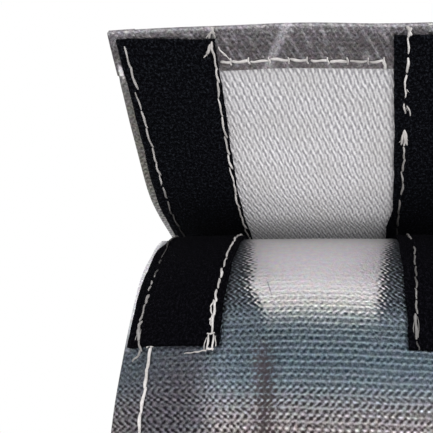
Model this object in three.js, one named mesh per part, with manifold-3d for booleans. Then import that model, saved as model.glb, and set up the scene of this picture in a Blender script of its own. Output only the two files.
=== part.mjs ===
// A fire-resistant pouch for lithium polymer batteries, standing on its bottom with the flap half open.
// It is sewn from foil-faced glass cloth outside and bare glass cloth inside. Two hook tapes inside the
// flap press onto two loop tapes that run over the pouch's shoulder.
//
// Millimetres, +X to the wearer's right as seen from the front, +Y to the back, +Z up.
// The origin is on the ground, in the middle of the pouch's width and depth.
//
// Every cloth piece is cut flat, as a box that is thin across its thickness, and then laid onto a surface:
// (across, along, out) becomes a point, where "across" is X, "along" runs up or over the surface from its
// start, and "out" is the height above the outer face of the foil cloth, negative towards the inside.

import * as THREE from "three";
import { mergeVertices } from "three/addons/utils/BufferGeometryUtils.js";
import Module from "manifold-3d";

// --- Driving dimensions ---

const bagWidth = 80; // panels and flap, edge to edge
const sideDepth = 56.5; // between the front and back cloth at the side seams
const frontCrown = 7; // how far the middle of the front stands proud of its side seams
const backCrown = 3;
const frontTuck = 1.5; // how far the front is drawn in at the bottom seam
const creaseHeight = 184; // where the flap leaves the back panel

const clothThickness = 0.5;
const tapeThickness = 0.9;
const layerGap = 0.2; // air between two sewn layers

const tapeWidth = 20;
const tapeFromEdge = 2; // margin of foil cloth beside each tape
const tapeEnd = 47; // length over the shoulder at which the loop tapes end

const seamFromEdge = 5.2; // side seam stitching, from the cloth's edge
const gussetFromEdge = 6.2; // the side panel's outer face, from the cloth's edge
const turnedMargin = 5.6; // cloth turned under along a hemmed side
const hemLength = 9.5; // cloth turned under at the flap's end
const mouthHemLength = 8;

const threadWidth = 0.6;
const threadThickness = 0.35;
const threadHump = 0.25; // how far a stitch arches between two needle holes
const stitchLength = 4;

const rowInHem = 1.2; // the flap's hem stitching, from the turned cloth's edge
const hemInFromFold = 5.5; // hem stitching, from the mouth's fold
const tapeStart = 1.2; // loop tape, from the mouth's fold
const rowFromTapeEdge = { loop: 2, hookInner: 0.9, hookOuter: 2.1 };
const endMargin = 1; // cloth left beyond the end of a row or a flange
const seamAllowance = 2.2; // linings stop this short of a corner seam

const bendGap = 0.6; // between two rigid lengths of one cloth, where it bends
const mouthBend = 56; // length over the shoulder at which the mouth panel bends forward
const flapBends = [12, 30, 48]; // lengths along the flap at which it curls

// --- Surfaces ---

const halfWidth = bagWidth / 2;
const backPlane = (frontCrown + sideDepth + backCrown) / 2 - backCrown; // Y of the back cloth at its sides

// Side-edge line of the front cloth, from the mouth over the shoulder and down.
// Each point is [distance forward of the back cloth, height].
const frontLine = new THREE.SplineCurve(
  [
    [11, creaseHeight - 1.4],
    [18, creaseHeight + 0.8],
    [27.5, creaseHeight - 1.9],
    [37.5, creaseHeight - 9],
    [45, creaseHeight - 18.4],
    [50.5, creaseHeight - 30],
    [54.5, creaseHeight - 44],
    [sideDepth, creaseHeight - 66],
    [sideDepth, 60],
    [sideDepth, 22],
    [sideDepth - frontTuck, 0],
  ].map(([forward, height]) => new THREE.Vector2(forward, height)),
);

// Side-edge line of the flap, from the crease to its end.
const flapLine = new THREE.SplineCurve(
  [
    [0.4, 1.6],
    [8, 5],
    [15.6, 8.6],
    [24, 14.4],
    [34.4, 26],
    [44.6, 38.4],
    [48.5, 43.6],
  ].map(([forward, height]) => new THREE.Vector2(forward, creaseHeight + height)),
);

const frontLength = frontLine.getLength();
const flapLength = flapLine.getLength();

const ease = THREE.MathUtils.smoothstep;
const acrossCrown = (x) => 1 - (x / halfWidth) ** 2;

// A surface that follows a line of [forward, height] and swells by crown(x, along) in the middle.
function surfaceAlong(line, length, crown) {
  return (x, along, out) => {
    const share = THREE.MathUtils.clamp(along / length, 0, 1);
    const point = line.getPointAt(share);
    const heading = line.getTangentAt(share);
    const normal = new THREE.Vector2(-heading.y, heading.x);
    point.addScaledVector(normal, out + crown(x, along));
    return new THREE.Vector3(x, backPlane - point.x, point.y);
  };
}

const frontSwell = (along) =>
  frontCrown * ease(along, -6, 44) * (1 - ease(along, frontLength - 42, frontLength));
const frontSurface = surfaceAlong(
  frontLine,
  frontLength,
  (x, along) => frontSwell(along) * acrossCrown(x),
);

const flapBow = 1.5; // the flap's middle bows back towards its end
const flapSurface = surfaceAlong(
  flapLine,
  flapLength,
  (x, along) => flapBow * ease(along, 0, flapLength) * acrossCrown(x),
);

const backSwell = (height) =>
  backCrown * ease(height, 0, 40) * (1 - ease(height, creaseHeight - 50, creaseHeight));
const backSurface = (x, height, out) =>
  new THREE.Vector3(x, backPlane + out + backSwell(height) * acrossCrown(x), height);

// --- Making cloth pieces ---

const wasm = await Module();
wasm.setup();

const stepAcross = 6.7;
const stepAlong = 5;

// Turns every triangle of a geometry round.
function turnFaces(geometry) {
  const index = geometry.index.array;
  for (let i = 0; i < index.length; i += 3) {
    [index[i + 1], index[i + 2]] = [index[i + 2], index[i + 1]];
  }
  return geometry;
}

// Leaves only merged positions, so that a geometry is one closed surface.
function closed(geometry) {
  geometry.deleteAttribute("normal");
  geometry.deleteAttribute("uv");
  return mergeVertices(geometry, 1e-4);
}

// A flat piece cut across x, along and out, laid onto a surface. lift(along) raises it as it goes.
function layOn(surface, [x0, x1], [start, end], [low, high], lift, step = stepAlong) {
  const width = x1 - x0;
  const length = end - start;
  const box = new THREE.BoxGeometry(
    width,
    length,
    high - low,
    Math.max(1, Math.ceil(width / stepAcross)),
    Math.max(1, Math.ceil(length / step)),
    1,
  );
  box.translate((x0 + x1) / 2, (start + end) / 2, (low + high) / 2);
  const places = box.getAttribute("position");
  for (let i = 0; i < places.count; i++) {
    const along = places.getY(i);
    const out = places.getZ(i) + (lift ? lift(along) : 0);
    const point = surface(places.getX(i), along, out);
    places.setXYZ(i, point.x, point.y, point.z);
  }
  // Across, along and out are a left-handed set on each surface, which turns the box inside out.
  return turnFaces(closed(box));
}

function solidOf(geometry) {
  return new wasm.Manifold(
    new wasm.Mesh({
      numProp: 3,
      vertProperties: Float32Array.from(geometry.getAttribute("position").array),
      triVerts: Uint32Array.from(geometry.index.array),
    }),
  );
}

// Joins overlapping geometries into one closed geometry.
function join(...geometries) {
  const mesh = geometries
    .map(solidOf)
    .reduce((whole, piece) => whole.add(piece))
    .getMesh();
  return new THREE.BufferGeometry()
    .setAttribute("position", new THREE.BufferAttribute(mesh.vertProperties, 3))
    .setIndex(new THREE.BufferAttribute(mesh.triVerts, 1));
}

// --- Layers, as heights above the outer face of the foil cloth ---

const layerPitch = clothThickness + layerGap;
const clothLayer = [-clothThickness, 0];
const liningLayer = [-clothThickness - layerPitch, -layerPitch];
const loopLayer = [layerGap, layerGap + tapeThickness];
const hookLayer = [liningLayer[0] - layerGap - tapeThickness, liningLayer[0] - layerGap];
const flangeGap = 0.3;
const flangeLayer = [-2 * clothThickness - flangeGap, -clothThickness - flangeGap];

// Places across the width, for the half on +X. bothSides gives the other half.
const tapeSpan = [halfWidth - tapeFromEdge - tapeWidth, halfWidth - tapeFromEdge];
const turnedSpan = [halfWidth - turnedMargin, halfWidth];
const liningSpan = [-turnedSpan[0] + layerGap, turnedSpan[0] - layerGap];
const sides = { left: -1, right: 1 };
const mirrored = ([from, to], side) => (side < 0 ? [-to, -from] : [from, to]);

// --- Materials ---

const foilCloth = new THREE.MeshStandardMaterial({ color: 0xa9abaf, metalness: 0.85, roughness: 0.35 });
const glassCloth = new THREE.MeshStandardMaterial({ color: 0xdcdadb, metalness: 0, roughness: 0.75 });
const hookTape = new THREE.MeshStandardMaterial({ color: 0x0e0e11, metalness: 0, roughness: 0.85 });
const loopTape = new THREE.MeshStandardMaterial({ color: 0x08080b, metalness: 0, roughness: 0.95 });
const whiteThread = new THREE.MeshStandardMaterial({ color: 0xe9e7e4, metalness: 0, roughness: 0.6 });

const pouch = new THREE.Group();

function addPiece(parent, name, geometry, material) {
  const mesh = new THREE.Mesh(geometry, material);
  mesh.name = name;
  parent.add(mesh);
}

// A row of lockstitch: thread that arches over the cloth and dips towards it at every needle hole.
// reach is the height of the face that it lies on, and facing is 1 above the cloth or -1 below it.
function addStitching(parent, name, surface, x, [start, end], reach, facing = 1) {
  const stitches = Math.round((end - start) / stitchLength);
  const pitch = (end - start) / stitches;
  const arch = (along) => facing * threadHump * Math.abs(Math.sin((Math.PI * (along - start)) / pitch));
  const near = reach + facing * layerGap;
  const far = near + facing * threadThickness;
  const row = layOn(
    surface,
    [x - threadWidth / 2, x + threadWidth / 2],
    [start, end],
    [Math.min(near, far), Math.max(near, far)],
    arch,
    pitch / 2,
  );
  addPiece(parent, name, row, whiteThread);
}

// A row of stitching that runs across the width, at one length along the surface.
function addCrossStitching(parent, name, surface, [x0, x1], along, reach, facing = 1) {
  const stitches = Math.round((x1 - x0) / stitchLength);
  const pitch = (x1 - x0) / stitches;
  const near = reach + facing * layerGap;
  const far = near + facing * threadThickness;
  const box = new THREE.BoxGeometry(x1 - x0, threadWidth, threadThickness, stitches * 2, 1, 1);
  box.translate((x0 + x1) / 2, along, (near + far) / 2);
  const places = box.getAttribute("position");
  for (let i = 0; i < places.count; i++) {
    const x = places.getX(i);
    const arch = facing * threadHump * Math.abs(Math.sin((Math.PI * (x - x0)) / pitch));
    const point = surface(x, places.getY(i), places.getZ(i) + arch);
    places.setXYZ(i, point.x, point.y, point.z);
  }
  addPiece(parent, name, turnFaces(closed(box)), whiteThread);
}

// A length of cloth whose side margins are turned under. hem names an end that is turned under too.
function hemmedCloth(surface, [start, end], hem) {
  const fold = clothThickness;
  const pieces = [layOn(surface, [-halfWidth, halfWidth], [start, end], clothLayer)];
  for (const side of Object.values(sides)) {
    pieces.push(layOn(surface, mirrored(turnedSpan, side), [start, end], liningLayer));
    pieces.push(
      layOn(surface, mirrored([halfWidth - fold, halfWidth], side), [start, end], [liningLayer[0], 0]),
    );
  }
  if (hem) {
    const [from, to] = hem.atEnd ? [end - hem.length, end] : [start, start + hem.length];
    const [edgeFrom, edgeTo] = hem.atEnd ? [end - fold, end] : [start, start + fold];
    pieces.push(layOn(surface, [-halfWidth, halfWidth], [from, to], liningLayer));
    pieces.push(layOn(surface, [-halfWidth, halfWidth], [edgeFrom, edgeTo], [liningLayer[0], 0]));
  }
  return join(...pieces);
}

// --- The pouch's body ---

const bodyTop = creaseHeight - 0.6; // top edge of the back panel, just under the crease
const bottomTop = clothThickness + flangeGap; // where the side panels and the lining of the bottom stand
const edgeSetback = 0.6; // a hidden piece stays this far inside the outer cloth's edge
const mouthClearance = 2.5; // the side panel's top starts this far along from the mouth's fold
const underMouth = liningLayer[0] - 0.8;
const liningDrop = 0.7; // the side lining's top edge is lower than the side panel's
const gussetX = halfWidth - gussetFromEdge;
const flangeSpan = [gussetX - clothThickness, halfWidth - edgeSetback];
const innerSpan = [-gussetX + 2 * layerPitch, gussetX - 2 * layerPitch];
const frontRange = [mouthBend + bendGap / 2, frontLength];

function addPanels() {
  const whole = [-halfWidth, halfWidth];
  addPiece(pouch, "front_panel", layOn(frontSurface, whole, frontRange, clothLayer), foilCloth);
  addPiece(pouch, "back_panel", layOn(backSurface, whole, [0, bodyTop], clothLayer), foilCloth);
  addPiece(
    pouch,
    "front_lining",
    layOn(frontSurface, innerSpan, [frontRange[0], frontLength - seamAllowance], liningLayer),
    glassCloth,
  );
  addPiece(
    pouch,
    "back_lining",
    layOn(backSurface, innerSpan, [seamAllowance, bodyTop], liningLayer),
    glassCloth,
  );
}

// Outline in the Y-Z plane of a side panel, at the given x: inside the front cloth, the shoulder and the back.
function sideOutline(x, inset, underMouth, bottom) {
  const outline = [];
  const add = (point) => outline.push(new THREE.Vector2(point.y, point.z));
  const bodySteps = Math.ceil((frontLength - frontRange[0]) / stepAlong);
  for (let i = 0; i <= bodySteps; i++) {
    const along = THREE.MathUtils.lerp(frontLength, frontRange[0], i / bodySteps);
    const point = frontSurface(x, along, inset);
    if (point.z > bottom) {
      add(point);
    }
  }
  const mouthSteps = Math.ceil(frontRange[0] / stepAlong);
  for (let i = 1; i <= mouthSteps; i++) {
    const along = THREE.MathUtils.lerp(frontRange[0], mouthClearance, i / mouthSteps);
    add(frontSurface(x, along, underMouth));
  }
  const backSteps = Math.ceil((bodyTop - bottom) / (2 * stepAlong));
  for (let i = 0; i <= backSteps; i++) {
    add(backSurface(x, THREE.MathUtils.lerp(bodyTop - stepAlong, bottom, i / backSteps), inset));
  }
  add(new THREE.Vector3(x, frontSurface(x, frontLength, inset).y, bottom));
  return new THREE.Shape(outline);
}

// A flat plate in the Y-Z plane, from x0 to x0 + thickness.
function sidePlate(outline, x0, thickness) {
  const plate = new THREE.ExtrudeGeometry(outline, { depth: thickness, bevelEnabled: false });
  const upright = new THREE.Matrix4().makeBasis(
    new THREE.Vector3(0, 1, 0),
    new THREE.Vector3(0, 0, 1),
    new THREE.Vector3(1, 0, 0),
  );
  return closed(plate.applyMatrix4(upright).translate(x0, 0, 0));
}

const flangeFoot = 1.4; // where the flanges start above the ground
const footSetback = 2; // the foot's back edge, from the back cloth
const footDepth = sideDepth - 5;

function addGussets() {
  const flangeMiddle = (flangeLayer[0] + flangeLayer[1]) / 2;
  const frontFlange = [frontRange[0] + endMargin, frontLength - flangeFoot];
  const backFlange = [flangeFoot, bodyTop - endMargin];
  const liningX = gussetX - clothThickness - layerPitch;
  for (const [label, side] of Object.entries(sides)) {
    const webX = side > 0 ? gussetX - clothThickness : -gussetX;
    const web = sidePlate(
      sideOutline(gussetX, flangeMiddle, underMouth, bottomTop),
      webX,
      clothThickness,
    );
    const span = mirrored(flangeSpan, side);
    const foot = new THREE.BoxGeometry(flangeSpan[1] - flangeSpan[0], footDepth, clothThickness);
    foot.translate(
      (side * (flangeSpan[0] + flangeSpan[1])) / 2,
      backPlane - footSetback - footDepth / 2,
      bottomTop + clothThickness / 2,
    );
    const gusset = join(
      web,
      layOn(frontSurface, span, frontFlange, flangeLayer),
      layOn(backSurface, span, backFlange, flangeLayer),
      closed(foot),
    );
    addPiece(pouch, `${label}_gusset`, gusset, foilCloth);

    const lining = sidePlate(
      sideOutline(
        liningX,
        liningLayer[0] - clothThickness,
        underMouth - liningDrop,
        bottomTop + seamAllowance,
      ),
      side > 0 ? liningX : -liningX - clothThickness,
      clothThickness,
    );
    addPiece(pouch, `${label}_gusset_lining`, lining, glassCloth);
  }
}

// A level rectangle between the front and back cloth, inset from both.
function levelSheet(halfX, inset, height) {
  const depth = sideDepth - frontTuck - 2 * inset;
  const sheet = new THREE.BoxGeometry(2 * halfX, depth, clothThickness);
  sheet.translate(0, backPlane - inset - depth / 2, height + clothThickness / 2);
  return closed(sheet);
}

function addBottom() {
  const panelInset = clothThickness + 2 * layerGap;
  const liningInset = panelInset + layerPitch;
  addPiece(pouch, "bottom_panel", levelSheet(halfWidth - edgeSetback, panelInset, 0), foilCloth);
  addPiece(
    pouch,
    "bottom_lining",
    levelSheet(innerSpan[1] - 2 * layerGap, liningInset, bottomTop),
    glassCloth,
  );
}

function addSeams() {
  const seamX = halfWidth - seamFromEdge;
  for (const [label, side] of Object.entries(sides)) {
    addStitching(
      pouch,
      `front_seam_stitching_${label}`,
      frontSurface,
      side * seamX,
      [frontRange[0] + endMargin, frontLength - 2 * flangeFoot],
      0,
    );
    addStitching(
      pouch,
      `back_seam_stitching_${label}`,
      backSurface,
      side * seamX,
      [2 * flangeFoot, bodyTop - 2 * flangeFoot],
      0,
    );
  }
}

// --- The mouth panel, the shoulder of the front cloth that swings forward to open the pouch ---

function addMouthPanel() {
  const range = [0, mouthBend - bendGap / 2];
  const hem = { atEnd: false, length: mouthHemLength };
  addPiece(pouch, "mouth_panel", hemmedCloth(frontSurface, range, hem), foilCloth);
  addPiece(
    pouch,
    "mouth_lining",
    layOn(frontSurface, innerSpan, [mouthHemLength + layerGap, range[1]], liningLayer),
    glassCloth,
  );
  addCrossStitching(
    pouch,
    "mouth_hem_stitching",
    frontSurface,
    [-tapeSpan[0] + endMargin, tapeSpan[0] - endMargin],
    hemInFromFold,
    0,
  );
  for (const [label, side] of Object.entries(sides)) {
    const tape = layOn(frontSurface, mirrored(tapeSpan, side), [tapeStart, tapeEnd], loopLayer);
    addPiece(pouch, `loop_tape_${label}`, tape, loopTape);
    const rows = { inner: tapeSpan[0] + rowFromTapeEdge.loop, outer: tapeSpan[1] - rowFromTapeEdge.loop };
    for (const [row, x] of Object.entries(rows)) {
      addStitching(
        pouch,
        `loop_stitching_${label}_${row}`,
        frontSurface,
        side * x,
        [tapeStart + endMargin, tapeEnd - endMargin],
        loopLayer[1],
      );
    }
  }
}

// --- The flap, one cloth that curls at its bends, so it is made in four lengths ---

function addFlap() {
  const names = ["base", "lower", "upper", "end"];
  const cuts = [0, ...flapBends, flapLength];
  const crease = 0.8; // the cloth starts here, clear of the back panel's top edge
  const fromCrease = 1.5; // from there to the tapes
  const endClear = 2.7; // from the tapes to the flap's end
  names.forEach((name, i) => {
    const last = i === names.length - 1;
    const start = cuts[i] + (i === 0 ? crease : bendGap / 2);
    const end = cuts[i + 1] - (last ? 0 : bendGap / 2);
    const hem = last ? { atEnd: true, length: hemLength } : null;
    addPiece(pouch, `flap_${name}_cloth`, hemmedCloth(flapSurface, [start, end], hem), foilCloth);
    const liningEnd = last ? end - hemLength - layerGap : end;
    addPiece(
      pouch,
      `flap_${name}_lining`,
      layOn(flapSurface, liningSpan, [start, liningEnd], liningLayer),
      glassCloth,
    );
    const tapeRange = [i === 0 ? start + fromCrease : start, last ? end - endClear : end];
    for (const [label, side] of Object.entries(sides)) {
      addPiece(
        pouch,
        `hook_tape_${label}_${name}`,
        layOn(flapSurface, mirrored(tapeSpan, side), tapeRange, hookLayer),
        hookTape,
      );
      const rows = {
        inner: tapeSpan[0] + rowFromTapeEdge.hookInner,
        outer: tapeSpan[1] - rowFromTapeEdge.hookOuter,
      };
      for (const [row, x] of Object.entries(rows)) {
        addStitching(
          pouch,
          `hook_stitching_${label}_${row}_${name}`,
          flapSurface,
          side * x,
          [tapeRange[0] + bendGap / 2, tapeRange[1] - (last ? endMargin : bendGap / 2)],
          hookLayer[0],
          -1,
        );
      }
    }
  });
  addCrossStitching(
    pouch,
    "flap_hem_stitching",
    flapSurface,
    [-tapeSpan[0] + endMargin, tapeSpan[0] - endMargin],
    flapLength - hemLength + rowInHem,
    liningLayer[0],
    -1,
  );
}

addPanels();
addGussets();
addBottom();
addSeams();
addMouthPanel();
addFlap();

export default pouch;
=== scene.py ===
import math

import bmesh
import bpy
import numpy as np
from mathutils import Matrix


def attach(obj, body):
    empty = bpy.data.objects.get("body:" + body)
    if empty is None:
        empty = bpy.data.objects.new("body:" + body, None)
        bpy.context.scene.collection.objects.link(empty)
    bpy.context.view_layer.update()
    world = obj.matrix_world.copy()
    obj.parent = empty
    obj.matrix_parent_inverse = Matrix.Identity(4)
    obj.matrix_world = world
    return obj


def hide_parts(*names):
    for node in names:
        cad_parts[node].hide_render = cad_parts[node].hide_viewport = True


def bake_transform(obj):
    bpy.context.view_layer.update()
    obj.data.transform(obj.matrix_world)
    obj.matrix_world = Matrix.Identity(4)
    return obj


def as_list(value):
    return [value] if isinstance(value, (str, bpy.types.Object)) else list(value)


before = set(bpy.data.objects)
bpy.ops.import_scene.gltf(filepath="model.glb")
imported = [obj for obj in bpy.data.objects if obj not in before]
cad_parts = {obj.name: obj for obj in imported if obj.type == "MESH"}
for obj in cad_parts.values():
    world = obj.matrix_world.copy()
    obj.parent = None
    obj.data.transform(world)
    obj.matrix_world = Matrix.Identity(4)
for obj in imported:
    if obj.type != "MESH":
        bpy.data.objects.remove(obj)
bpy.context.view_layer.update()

mm = 0.001
scene = bpy.context.scene
print("frame loaded:", len(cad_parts), "nodes")

# The bag's own measures in millimetres.
# "forward" is the distance in front of the back cloth, X runs across, and "out" is the height above the foil's face.
bag = {
    "halfWidth": 40,
    "backPlane": 30.25,
    "creaseHeight": 184,
    "frontCrown": 7,  # how far each panel bulges at its middle
    "backCrown": 3,
    "flapBow": 1.5,
    "clothThickness": 0.5,
    "foldSpacing": 0.3,  # between the rows of a cloth's mesh where it is folded under
    "foldDrop": 1.2,  # from the outer face to the face of cloth turned under
    "tapeEdges": (18, 38),
    "flapLean": 2.5,  # how far the flap's end leans to the left
}


def ease(value, low, high):
    t = np.clip((value - low) / (high - low), 0, 1)
    return t * t * (3 - 2 * t)


def bump(value, centre, width):
    return np.exp(-(((value - centre) / width) ** 2))


# Slow, repeatable unevenness between about -1 and 1, from waves of (strength, turns by a, turns by b, start, spread
# of the seed).
slowWaves = [
    (1.0, 1.0, 0.7, 1.3, 1.0), (1.0, -0.8, 1.3, 4.1, 2.3), (0.7, 1.9, 0.4, 0.6, 1.7), (0.6, 0.5, -2.1, 2.9, 3.1),
    (0.4, 3.1, 2.6, 5.2, 0.9),
]


def unevenness(a, b, seed=0.0):
    return sum(h * np.sin(p * a + q * b + start + spread * seed) for h, p, q, start, spread in slowWaves) / 2.6


# A smooth line through [forward, height] points, as a function of the length along it.
def tracedLine(points):
    p = np.array(points, float)
    p = np.vstack([p[:1], p, p[-1:]])
    t = np.linspace(0, 1, 60, endpoint=False)[:, None]
    runs = []
    for i in range(1, len(p) - 2):
        before, a, b, after = p[i - 1 : i + 3]
        leave, arrive = (b - before) / 2, (after - a) / 2
        cubed, squared = 2 * a - 2 * b + leave + arrive, -3 * a + 3 * b - 2 * leave - arrive
        runs.append(cubed * t**3 + squared * t**2 + leave * t + a)
    trace = np.vstack(runs + [p[-1:]])
    gone = np.concatenate([[0], np.cumsum(np.linalg.norm(np.diff(trace, axis=0), axis=1))])
    headings = np.gradient(trace, gone, axis=0)
    headings /= np.linalg.norm(headings, axis=1)[:, None]

    def at(along):
        inside = np.clip(along, 0, gone[-1])
        heading = [np.interp(inside, gone, headings[:, k]) for k in (0, 1)]
        size = np.hypot(*heading)
        heading = [h / size for h in heading]
        place = [np.interp(inside, gone, trace[:, k]) + heading[k] * (along - inside) for k in (0, 1)]
        return place, heading

    at.length = gone[-1]
    return at


top = bag["creaseHeight"]
frontLine = tracedLine(
    [
        (11, top - 1.4), (18, top + 0.8), (27.5, top - 1.9), (37.5, top - 9), (45, top - 18.4), (50.5, top - 30),
        (54.5, top - 44), (56.5, top - 66), (56.5, 60), (56.5, 22), (55, 0),
    ]
)
flapLine = tracedLine(
    [
        (0.4, top + 1.6), (8, top + 5), (15.6, top + 8.6), (24, top + 14.4), (34.4, top + 26), (44.6, top + 38.4),
        (48.5, top + 43.6),
    ]
)
frontLength = frontLine.length
flapLength = flapLine.length
flapCuts = (6, 21, 39)  # where one flap piece meets the next, away from its bends
flapStart = flapCuts[0]


def onLine(line, x, along, out):
    (forward, height), (headForward, headUp) = line(along)
    y = bag["backPlane"] - forward + headUp * out
    return np.stack([x + 0 * along, y, height + headForward * out], axis=-1)


def acrossCrown(x):
    return 1 - (x / bag["halfWidth"]) ** 2


# Folds and dents that every layer of the front shares, in millimetres.
def frontRelief(x, along):
    broad = 0.28 * unevenness(x / 9, along / 11) * ease(along, 26, 50)
    crease = bump(x, -9.5 - 0.05 * (along - 50), 1.7) - 0.7 * bump(x, -6.2 - 0.05 * (along - 50), 2.2)
    crease = -0.6 * crease * ease(along, 43, 52) * (1 - ease(along, 70, 110))
    slack = 0.5 * unevenness(x / 13, along / 23, 2.0) * ease(along, 60, 90)
    return (broad + crease + slack) * (1 - ease(along, frontLength - 30, frontLength - 4))


def frontSurface(x, along, out):
    swell = ease(along, 1, 44) * (1 - ease(along, frontLength - 42, frontLength))
    out = out + bag["frontCrown"] * swell * acrossCrown(x) + frontRelief(x, along)
    drawnIn = 1 - 0.028 * swell * (x / bag["halfWidth"]) ** 2
    # the corners are rounded over, and the side seams pull the edges in a little below them
    rounded = 0.25 * ease(along, 12, 20) * (1 - ease(along, 46, 58)) + 0.55 * (1 - ease(along, 17, 27))
    drawnIn = drawnIn - rounded * ease(np.abs(x), 37, 40) / bag["halfWidth"]
    return onLine(frontLine, x * drawnIn, along, out)


def flapRelief(x, along):
    broad = 0.3 * unevenness(x / 10, along / 9, 1.0) * ease(along, 14, 40)
    edge = 0.35 * np.sin(x / 5.3 + 0.8) * ease(along, flapLength - 14, flapLength)
    return broad + edge


# The flap hangs a little to the left, and its right-hand corner stands lower.
def flapShift(along):
    return bag["flapLean"] * along / flapLength + 0.6 * (1 - ease(along, 5, 60))


def flapSurface(x, along, out):
    bow = bag["flapBow"] * ease(along, 0, flapLength) * acrossCrown(x)
    spread = 1 + 0.005 * ease(along, 12, 24) * (1 - ease(along, 42, 54))
    place = onLine(flapLine, x * spread, along, out + bow + flapRelief(x, along))
    place[..., 0] -= flapShift(along)
    place[..., 2] -= 0.85 * ease(x, -8, 16) * ease(along, 20, flapLength)
    return place


# The back cloth and the flap's base are one cloth: up the back, round the crease and forward to the first cut.
(baseForward, baseHeight), _ = flapLine(np.array([3.5, flapStart, flapStart + 1.5]))
backLine = tracedLine(
    [(0, 0), (0, 30), (0, 70), (0, 110), (0, 150), (0, 172), (0, 180), (0.5, 183.6), (1.6, 185.9)]
    + list(zip(baseForward, baseHeight))
)
spread = np.linspace(0, backLine.length, 4000)
(spreadForward, spreadHeight), _ = backLine(spread)
backLength = spread[np.argmin(np.hypot(spreadForward - baseForward[1], spreadHeight - baseHeight[1]))]


def backSurface(x, along, out):
    swell = ease(along, 0, 40) * (1 - ease(along, top - 50, top - 6))
    out = out + bag["backCrown"] * swell * acrossCrown(x)
    out = out + 0.4 * unevenness(x / 12, along / 19, 3.0) * ease(along, 8, 40) * (1 - ease(along, top - 30, top - 8))
    base = ease(along, backLength - 9, backLength)
    out = out + base * bag["flapBow"] * ease(flapStart, 0, flapLength) * acrossCrown(x)
    place = onLine(backLine, x, along, out)
    place[..., 0] -= base * flapShift(flapStart)
    return place


foldRadius = bag["foldDrop"] / 2
foldArc = math.pi * foldRadius


# A cloth's edge turned under: t runs out to the edge, round the fold and back beneath. The third result is how far
# round the fold it has come.
def turnUnder(t, edge):
    flat = edge - foldRadius
    turn = np.clip((t - flat) / foldRadius, 0, math.pi)
    beyond = np.maximum(t - flat - foldArc, 0)
    return np.minimum(t, flat) + foldRadius * np.sin(turn) - beyond, -foldRadius * (1 - np.cos(turn)), turn


# Steps from low to high at about the given spacing, with a closer spacing in each fold.
def steps(low, high, spacing, folds=()):
    stops = [low] + [f for f in folds if low < f < high] + [high]
    marks = []
    for a, b in zip(stops, stops[1:]):
        close = any(abs(a - f) < 1e-6 for f in folds[::2]) and any(abs(b - f) < 1e-6 for f in folds[1::2])
        count = max(1, math.ceil((b - a) / (bag["foldSpacing"] if close else spacing)))
        marks.extend(np.linspace(a, b, count, endpoint=False))
    return np.array(marks + [high])


def finishMesh(obj, material, sharpAngle=40):
    mesh = obj.data
    mesh.materials.clear()
    mesh.materials.append(material)
    mesh.shade_smooth()
    mesh.set_sharp_from_angle(angle=math.radians(sharpAngle))
    return obj


def newObject(name, mesh):
    obj = bpy.data.objects.new(name, mesh)
    scene.collection.objects.link(obj)
    return obj


# A flat cut of cloth: columns and rows are its own millimetres, and place puts each crossing in space.
def cutCloth(name, columns, rows, place, thickness, material, sharpAngle=40):
    cut = bmesh.new()
    bmesh.ops.create_grid(cut, x_segments=len(columns) - 1, y_segments=len(rows) - 1, size=0.5)
    bmesh.ops.reverse_faces(cut, faces=cut.faces)
    weave = cut.loops.layers.uv.new("cloth")
    cut.verts.ensure_lookup_table()
    flat = np.array([v.co for v in cut.verts])
    u = np.asarray(columns)[np.rint((flat[:, 0] + 0.5) * (len(columns) - 1)).astype(int)]
    v = np.asarray(rows)[np.rint((flat[:, 1] + 0.5) * (len(rows) - 1)).astype(int)]
    for vertex, spot in zip(cut.verts, place(u, v) * mm):
        vertex.co = spot
    for face in cut.faces:
        for loop in face.loops:
            loop[weave].uv = (u[loop.vert.index], v[loop.vert.index])
    cut.normal_update()
    bmesh.ops.solidify(cut, geom=cut.faces, thickness=thickness * mm)
    mesh = bpy.data.meshes.new(name)
    cut.to_mesh(mesh)
    cut.free()
    return finishMesh(newObject(name, mesh), material, sharpAngle)


# Colours are sRGB hex values.
def linear(hexColour):
    channels = [int(hexColour[i : i + 2], 16) / 255 for i in (1, 3, 5)]
    return [c / 12.92 if c <= 0.04045 else ((c + 0.055) / 1.055) ** 2.4 for c in channels] + [1]


# Clears the nodes of a material or world, and returns the function that adds new ones. The kind of a maths node is
# followed by its operation. A list fills the inputs in use in their order, and a dictionary fills inputs by name. A
# node or socket is linked, a node standing for its first output in use, and a number or colour is set.
def emptyTree(owner):
    owner.use_nodes = True
    tree = owner.node_tree
    tree.nodes.clear()

    def add(kind, inputs=(), stops=(), **settings):
        kind, *operation = kind.split()
        node = tree.nodes.new("ShaderNode" + kind)
        for key, value in [*settings.items(), *(("operation", name) for name in operation)]:
            setattr(node, key, value)
        named = isinstance(inputs, dict)
        sockets = [node.inputs[key] for key in inputs] if named else [s for s in node.inputs if s.enabled]
        for socket, value in zip(sockets, inputs.values() if named else inputs):
            if isinstance(value, bpy.types.Node):
                value = next(s for s in value.outputs if s.enabled)
            if isinstance(value, bpy.types.NodeSocket):
                tree.links.new(value, socket)
            else:
                socket.default_value = linear(value) if isinstance(value, str) else value
        for i, (position, colour) in enumerate(sorted(stops)):
            elements = node.color_ramp.elements
            element = elements[i] if i < 2 else elements.new(position)
            element.position = position
            if isinstance(colour, str):
                colour = linear(colour)[:3]
            elif isinstance(colour, float):
                colour = (colour,) * 3
            element.color = (*colour, 1)
        return node

    return add


smooth = {"interpolation_type": "SMOOTHSTEP"}


# A material, from a look: the function that adds its nodes and returns what goes into the shader.
def newMaterial(name, look, *details, **more):
    material = bpy.data.materials.new(name)
    add = emptyTree(material)
    add("OutputMaterial", [add("BsdfPrincipled", look(add, *details, **more))])
    return material


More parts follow.
